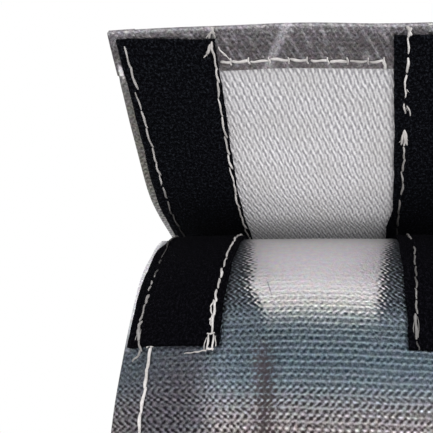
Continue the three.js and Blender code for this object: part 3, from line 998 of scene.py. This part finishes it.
def makeGussets():
    flange, web = gusset["flangeEdge"] - gusset["webAt"], gusset["web"]
    for label, side in {"Left": -1, "Right": 1}.items():

        def place(u, v):
            x = gusset["webAt"] + np.maximum(flange - u, 0) + np.maximum(u - flange - web, 0)
            share = np.clip((u - flange) / web, 0, 1)
            return webPoint(side, x, v / sideHeight, share, gusset["flangeOut"])

        def placeLining(u, v):
            aside, ahead = gusset["liningInset"]
            rise, share = ahead + (1 - 2 * ahead) * v / sideHeight, aside + (1 - 2 * aside) * u / web
            return webPoint(side, gusset["liningAt"], rise, share, gusset["liningOut"])

        columns = steps(0, 2 * flange + web, 1.1, (flange, flange + web))
        rows = steps(0, sideHeight, 1.6)[:: -side]
        name = "gusset" + label
        piece = layCloth(name, columns, rows, place, plainFoil, "folded", "bottomPanel", sharpAngle=75)
        fromPouch(piece, "mouth", f"{label.lower()}_gusset")

        columns = steps(0, web, lining["spacing"])
        piece = layCloth("gussetLining" + label, columns, rows, placeLining, liningCloth, "hung", name)
        fromPouch(piece, "mouth", f"{label.lower()}_gusset_lining")


# The bottom's cloths: half the width, how far the front and back edges stay in, the height, the unevenness and the
# material.
bottomDepth = 55.0
bottomCloths = {
    "Panel": (39.4, 0.9, 0.05, 0.12, plainFoil),
    "Lining": (32.0, 2.0, 0.8, 0.1, liningCloth),
}


def makeBottom():
    for label, (half, inset, low, rough, material) in bottomCloths.items():
        columns = steps(-half, half, 1.6)
        rows = steps(bag["backPlane"] - bottomDepth + inset, bag["backPlane"] - inset, 1.6)

        def place(u, v):
            return np.stack([u, v, low + rough * (1 + unevenness(u / 7, v / 6, 5.0))], axis=-1)

        piece = layCloth("bottom" + label, columns, rows, place, material, "laid")
        riding(piece, "pouch", "bottom_" + label.lower())


makeGussets()
makeBottom()
print("sides and bottom laid")

# Tapes 20 mm wide. Their edges are rounded, and each stitch row pulls a groove into them.
tape = {
    "thickness": 0.9,
    "spacing": 0.55,
    "groove": 0.22,
    "roundedEdge": 0.25,
    "loop": {"surface": frontSurface, "out": 1.1, "facing": 1, "rows": (20.0, 36.0), "material": loopNylon},
    "hook": {"surface": flapSurface, "out": -1.4, "facing": -1, "rows": (18.9, 35.7), "material": hookNylon},
    "loopEnds": (1.2, 47.0),
    "hookEnds": (2.3, flapLength - 2.2),
}


# The tapes are cut and laid a little unevenly, as their corners show: how much wider they are here, and how far they
# have slid along.
def unevenTape(side, kind, x, v):
    outwards = ease(x, *bag["tapeEdges"])
    if side > 0:
        wider = 0.5 - 1.3 * (1 - ease(v, 8, 20)) if kind == "hook" else -0.3
        return wider * (1 - outwards), 0
    if kind == "hook":
        return -0.35 * outwards * (1 - ease(v, 52, 58)), (0.9 * outwards - 0.25) * ease(v, 52, 63)
    wider = 0.7 - 0.9 * (1 - ease(v, 22, 38)) - 1.4 * (1 - ease(v, 14, 21))
    return wider * outwards, -(0.4 + 0.8 * outwards) * ease(v, 38, 47)


def makeTape(name, side, kind, low, high, withPieces=()):
    near, far = bag["tapeEdges"]
    columns = np.sort(steps(near, far, tape["spacing"]) * side)
    rows = steps(low, high, tape["spacing"])
    details = tape[kind]

    def place(u, v):
        x = np.abs(u)
        groove = sum(bump(x, row, 0.8) for row in details["rows"]) * tape["groove"]
        edge = tape["roundedEdge"] * (bump(x, near, 0.5) + bump(x, far, 0.5))
        ragged = 0.12 * unevenness(v / 1.7, side * 3.0, 6.0) * (bump(x, near, 1.0) - bump(x, far, 1.0))
        wider, slid = unevenTape(side, kind, x, v)
        out = details["out"] - details["facing"] * (groove + edge)
        return details["surface"](u + side * (ragged + wider), v + slid, out)

    piece = cutCloth(name, columns, rows, place, tape["thickness"], details["material"], 55)
    if high - low > 10:
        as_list(withPieces)
    return piece


for label, side in {"Left": -1, "Right": 1}.items():
    piece = makeTape("loopTape" + label, side, "loop", *tape["loopEnds"])
    fromPouch(piece, "mouth", f"loop_tape_{label.lower()}")
    start, end = tape["hookEnds"]
    base = makeTape(f"hookTape{label}Base", side, "hook", start, flapStart)
    riding(base, "flap_base", f"hook_tape_{label.lower()}_base")
    for zoneLabel, zone in flapZones.items():
        name = f"hookTape{label}{zoneLabel.title()}"
        extra = [base] if zoneLabel == "lower" else ()
        piece = makeTape(name, side, "hook", zone["from"], min(zone["to"], end), extra)
        withZone(piece, zone, f"hook_tape_{label.lower()}_{zoneLabel}")
print("tapes laid")

# Stitching: each stitch is its own length of thread, which comes up at one needle hole and goes down at the next.
sewing = {
    "radius": 0.22,
    "hair": 0.09,
    "length": 3.6,
    "gap": 0.1,  # between one stitch and the next of an even row
    "overlap": 0.15,  # how far a stitch's ends go on past its holes
    "lift": 0.07,
    "tallest": 0.56,
    "sink": 0.06,
    "uneven": 0.12,
    "points": 9,
}
hair = sewing["hair"]

# Stitches as sewn by a hand-fed machine: (across, along, across, along) of the two holes in millimetres, then the
# thread's radius where it differs. The hair-thin ones are where the thread has frayed.
hookRows = {
    "leftOuter": [
        (-36.7, 62.4, -36.3, 57.5, 0.2), (-36.4, 57.9, -36, 53, 0.27), (-36.5, 52.5, -36.1, 48),
        (-36.3, 47.8, -35.8, 43.6), (-36.1, 43.5, -35.6, 38.6), (-35.8, 38.2, -35.6, 34.5),
        (-35.8, 34.1, -35.4, 31.2), (-35.4, 31.2, -35.6, 28.3), (-35.5, 27.4, -35.3, 24.4),
        (-35.4, 23.1, -35.7, 18.4), (-35.6, 18, -35.5, 12.2, 0.2), (-35.5, 11.7, -35.4, 6.3, 0.2),
    ],
    "leftInner": [
        (-18, 65.1, -17.7, 64.1, 0.3), (-18.2, 64.4, -18.9, 63.3, 0.24), (-17.7, 64, -17.6, 63.2, 0.14),
        (-19, 63.9, -19.4, 63.2, 0.13), (-18.5, 62.2, -18.4, 59.8, 0.26), (-18.7, 61.7, -19.8, 60.1, 0.36),
        (-19.6, 60.4, -20.5, 59.1, 0.15), (-19.1, 60.8, -19.9, 59.4, hair), (-17.2, 61.1, -16, 59.4, 0.15),
        (-16.4, 59.8, -15.2, 58.6, hair), (-18.5, 60, -18.3, 56.6), (-18.4, 56.6, -18.3, 53.6),
        (-18.5, 53.8, -18.9, 50.2), (-19, 49.7, -18.6, 45.7), (-18.9, 45.2, -18.5, 40.4),
        (-18.9, 40.4, -18.4, 36.2), (-18.8, 35.8, -18.3, 32.4), (-18.7, 32.4, -18.3, 28.4),
        (-18.5, 28, -18.3, 25.1), (-18.6, 25, -18.3, 20.7), (-18.6, 20.6, -18.4, 16.2),
        (-18.6, 15.9, -18.3, 11.2), (-18.6, 10.8, -18.4, 6.4),
    ],
    "rightInner": [
        (21, 64.7, 21.7, 63.3, 0.36), (21.6, 64.4, 21.1, 62.9, 0.26), (21.2, 62.9, 21.25, 59.2),
        (21.1, 58.6, 21, 55.2, 0.28), (20.9, 54.8, 20.6, 52), (20.7, 52.4, 20.6, 49.4, 0.14),
        (20.8, 52, 21, 49.9, hair), (20.7, 51.8, 21.7, 50.6, hair), (20.4, 48.2, 20.6, 45.8, 0.2),
        (21.1, 47.8, 21.9, 45.3, 0.17), (20.5, 47.4, 21.4, 46.3, hair), (20.6, 41.9, 19.9, 38.2, 0.24),
        (20.6, 41.9, 20.5, 37.8, 0.3), (20.6, 41.9, 21.3, 38, 0.24), (20.7, 40.8, 21.7, 38.6, hair),
        (20.5, 40.6, 19.5, 38.8, hair), (20.4, 37.6, 20.7, 34.3), (20.7, 34.4, 20.2, 31),
        (20.2, 31.1, 20.5, 27.7), (20.5, 27.8, 20.2, 24.4), (19.9, 22.7, 19.9, 17.4), (19.9, 17, 19.8, 11.9),
        (19.9, 11.5, 19.8, 6.4),
    ],
}
loopRows = {
    "leftOuter": [
        (-35.2, 18.1, -35.5, 22.7, 0.13), (-35.3, 24.2, -35.3, 25, 0.2), (-35.2, 27.6, -35.6, 29.7, 0.18),
        (-35.7, 30.9, -35.7, 31.7, 0.2), (-35.7, 32.3, -35.9, 33.3, 0.2), (-35.7, 34.7, -35.9, 36.5, 0.34),
        (-35.9, 36.9, -36.1, 39.3), (-36.1, 39.3, -36.4, 40.5), (-35.9, 40.8, -36.4, 42, 0.28),
        (-36.3, 42, -35.9, 44.6, 0.4), (-36.5, 42.2, -36.6, 44.4, hair), (-35.8, 42.4, -35.5, 44.8, hair),
        (-35.8, 44.8, -34.9, 46.9, 0.22), (-34.9, 46.8, -35.2, 47.8, 0.22), (-35.2, 47.7, -36.4, 48.7, 0.2),
    ],
    "leftInner": [
        (-19.4, 18.1, -19.6, 21.4), (-19.6, 21.6, -19.5, 25.7, 0.22), (-19.5, 26.3, -19.6, 29.4, 0.2),
        (-19.8, 30, -19.5, 32.5, 0.28), (-19.8, 32.9, -19.6, 35.1, 0.24), (-20.1, 35.7, -19.7, 38.2, 0.24),
        (-19.7, 38.1, -19.6, 41.2, 0.25), (-20.2, 38, -20.6, 39.4, 0.15), (-20.6, 39.3, -20, 41, 0.15),
        (-19.7, 41, -19.7, 44.5, 0.24), (-19.9, 41.2, -20.3, 42, 0.15), (-20.3, 41.8, -20, 43, 0.14),
        (-20.5, 44.7, -19.1, 44.7, 0.17), (-20.1, 44.7, -20.3, 47.4, 0.19), (-19.3, 44.8, -19.2, 47.5, 0.19),
        (-20.3, 47.3, -19.2, 47.4, 0.22), (-20.6, 47.7, -22.7, 47.8, 0.16), (-22.5, 47.8, -24.8, 48.1, 0.12),
        (-20.7, 45.2, -20.9, 47.6, hair), (-18.8, 45, -18.7, 46.8, hair),
    ],
    "rightInner": [
        (20.9, 21, 20.6, 24.8, 0.2), (20.6, 25, 20.4, 28.7, 0.18), (20.4, 29.2, 20.2, 31.9, 0.2),
        (20.1, 32.3, 20.1, 34.8, 0.2), (19.8, 35.2, 19.9, 37.3, 0.18), (19.6, 37.9, 19.6, 40.4, 0.2),
        (19.4, 40.8, 19.2, 45.2, 0.28), (19.7, 41.2, 19.6, 45, hair), (19, 41.6, 18.8, 44.6, hair),
        (19.2, 45.8, 19.5, 47, 0.16),
    ],
}
flapHemRow = [
    (-17.3, 57.7, -15.5, 57.7), (-14.8, 57.6, -11.6, 57.7), (-11, 57.6, -7.4, 57.6), (-6.8, 57.8, -3.3, 57.5),
    (-2.7, 57.7, 0.5, 57.5), (1.6, 57.4, 4.8, 57.4), (5.6, 57.3, 8.9, 57.4), (9.7, 57.3, 13, 57.4),
    (13.6, 57.2, 16.4, 57.5), (16.4, 57.4, 16.7, 55.8),
]

# How worn and grey each row is along its length, with painted shade near the crease: (millimetres along, share of the
# white that is lost).
rowWearAndShade = {
    "hookLeftOuter": [(10, 0.96), (15, 0.9), (20, 0.72), (27, 0.58), (31, 0.2), (38, 0.18), (43, 0.4), (62, 0.35)],
    "hookLeftInner": [(8, 0.5), (15, 0.25), (20, 0.05)],
    "hookRightInner": [(9, 0.97), (15, 0.88), (21, 0.55), (28, 0.5), (32, 0.42), (36, 0.3), (38.5, 0)],
    "hookRightOuter": [(9, 0.95), (15, 0.85), (28, 0.5), (38, 0.2)],
    "loopLeftOuter": [(18, 0.6), (22, 0.85), (30, 0.9), (33.5, 0.85), (35, 0.45), (39, 0.66), (44, 0.55), (47, 0.6)],
    "loopLeftInner": [(18, 0.45), (22, 0.3), (26, 0.4), (30, 0)],
    "loopRightInner": [(19, 0.985), (22, 0.72), (28, 0.7), (33, 0.8), (36, 0.8), (39, 0.65), (43, 0.62), (46, 0.9)],
    "loopRightOuter": [(20, 0.8), (40, 0.6)],
    "flapHem": [(0, 0.1)],
}

# The rows that are sewn evenly, each (across, from, to, how far it leans across on the way).
evenRows = {
    "hookRightOuter": (36.0, 62.0, 6.2),
    "loopLeftOuter": (-35.6, 2.2, 17.7),
    "loopLeftInner": (-19.4, 2.2, 17.8),
    "loopRightInner": (20.6, 2.2, 16.4),
    "loopRightOuter": (36.0, 2.2, 46.2),
    "frontSeamTop": (32.9, 46.1, 62, 0.2),
    "frontSeamMiddle": (33.1, 62, 86, 1.5),
    "frontSeamFoot": (34.6, 86, frontLength - 2.8),
    "backSeam": (34.8, 2.8, 180.6),
    "mouthHem": (5.5, -17.2, 17.2),
}
seamTopRadius = 0.33
hemRadius = 0.31
tickRadius = 0.2


# Sews a row on a surface. Its stitches lie reach above the surface and rise to the side that facing gives. Its last
# argument is the row's own (millimetres along, share of the white that is lost), for worn thread and painted shade.
def sew(name, surface, stitches, reach, facing, radius=sewing["radius"], soot=((0, 0.0),)):
    curve = bpy.data.curves.new(name, "CURVE")
    curve.dimensions = "3D"
    curve.bevel_depth = mm
    curve.bevel_resolution = 1
    curve.use_fill_caps = True
    t = np.linspace(0, 1, sewing["points"])
    rise = np.sin(math.pi * t) ** 0.35
    for i, (x0, along0, x1, along1, *own) in enumerate(stitches):
        thick = own[0] if own else radius * (1 + sewing["uneven"] * math.sin(i * 2.3))
        side = 0.1 * np.sin(math.pi * 2 * t + i * 1.9) + 0.06 * math.sin(i * 2.7)
        dx, dy = x1 - x0, along1 - along0
        size = math.hypot(dx, dy)
        run = t + (2 * t - 1) * sewing["overlap"] / size
        x = x0 + dx * run - side * dy / size
        along = along0 + dy * run + side * dx / size
        # thick thread beds deeper, so that nothing catches on it
        height = min(thick + sewing["lift"], sewing["tallest"] - thick)
        out = reach + facing * (-sewing["sink"] + (sewing["sink"] + height) * rise)
        spline = curve.splines.new("POLY")
        spline.points.add(len(t) - 1)
        lumps = 1 + sewing["uneven"] * np.sin(9 * t + i * 1.3)
        for point, spot, share, lump in zip(spline.points, surface(x, along, out) * mm, rise, lumps):
            point.co = (*spot, 1)
            point.radius = thick * (0.7 + 0.3 * share) * lump
    holder = newObject(name, curve)
    mesh = bpy.data.meshes.new_from_object(holder.evaluated_get(bpy.context.evaluated_depsgraph_get()))
    bpy.data.objects.remove(holder)
    mesh.name = name
    wornAndShaded = mesh.attributes.new("soot", "FLOAT", "POINT")
    lost = np.interp([(s[1] + s[3]) / 2 for s in stitches], *zip(*soot))
    wornAndShaded.data.foreach_set("value", np.repeat(lost, len(mesh.vertices) // len(stitches)).astype(np.float32))
    return finishMesh(newObject(name, mesh), thread, 70)


# Stitches from start to end, with their lengths a little uneven.
def evenRow(x, start, end, lean=0.0):
    count = round(abs(end - start) / sewing["length"])
    number = np.arange(count + 1)
    marks = start + (end - start) * (number + 0.06 * np.sin(number * 2.4)) / count
    sides = x + lean * number / count + 0.12 * np.sin(number * 3.7)
    hold = math.copysign(sewing["gap"] / 2, end - start)
    return [(sides[i], marks[i] + hold, sides[i + 1], marks[i + 1] - hold) for i in range(count)]


def makeStitches():
    loopReach = tape["loop"]["out"] - tape["groove"]
    hookReach = tape["hook"]["out"] - tape["thickness"] + tape["groove"]
    for label, side in {"left": -1, "right": 1}.items():
        for edge in ("inner", "outer"):
            key = label + edge.title()
            row = key[0].upper() + key[1:]
            stitches = evenRow(*evenRows["loop" + row]) + loopRows.get(key, [])
            piece = sew("loopStitching" + row, frontSurface, stitches, loopReach, 1, soot=rowWearAndShade["loop" + row])
            fromPouch(piece, "mouth", f"loop_stitching_{label}_{edge}")

            name, soot = "hookStitching" + row, rowWearAndShade["hook" + row]
            stitches = hookRows.get(key) or evenRow(*evenRows["hook" + row])
            x = stitches[-1][2]
            base = sew(name + "Base", flapSurface, [(x, 2.6, x, 5.8)], hookReach, -1, soot=soot)
            riding(base, "flap_base", f"hook_stitching_{label}_{edge}_base")
            for zoneLabel, zone in flapZones.items():
                inZone = [s for s in stitches if zone["from"] <= (s[1] + s[3]) / 2 < zone["to"]]
                piece = sew(name + zoneLabel.title(), flapSurface, inZone, hookReach, -1, soot=soot)
                withZone(piece, zone, f"hook_stitching_{label}_{edge}_{zoneLabel}")

        # the front seam starts in thicker thread, with a stitch laid across
        rows = []
        for key in ("frontSeamTop", "frontSeamMiddle", "frontSeamFoot"):
            x, start, end, *lean = evenRows[key]
            rows.append(evenRow(side * x, start, end, *[side * l for l in lean]))
        stitches = [(*s, seamTopRadius) for s in rows[0]] + rows[1] + rows[2]
        stitches.append((side * 33.8, 45.9, side * 32.6, 45.9))
        seam = sew(f"frontSeam{label.title()}", frontSurface, stitches, 0, 1)
        fromPouch(seam, "mouth", f"front_seam_stitching_{label}")
        x, start, end = evenRows["backSeam"]
        seam = sew(f"backSeam{label.title()}", backSurface, evenRow(side * x, start, end), 0, 1)
        riding(seam, "pouch", f"back_seam_stitching_{label}")

    # each stitch of the flap's hem ends in a small tick where it is pulled down
    ticks = [(s[2] + 0.1, s[3] + 0.5, s[2] + 0.2, s[3] - 0.6, tickRadius) for s in flapHemRow[:-1]]
    stitches = flapHemRow + ticks
    hem = sew("flapHemStitching", flapSurface, stitches, -bag["foldDrop"], -1, hemRadius, rowWearAndShade["flapHem"])
    riding(hem, "flap_end", "flap_hem_stitching")
    # the mouth's hem is sewn across the bag
    stitches = [(a, b, c, d) for b, a, d, c in evenRow(*evenRows["mouthHem"])]
    hem = sew("mouthHemStitching", frontSurface, stitches, 0, 1)
    fromPouch(hem, "mouth", "mouth_hem_stitching")


makeStitches()
print("stitching sewn")
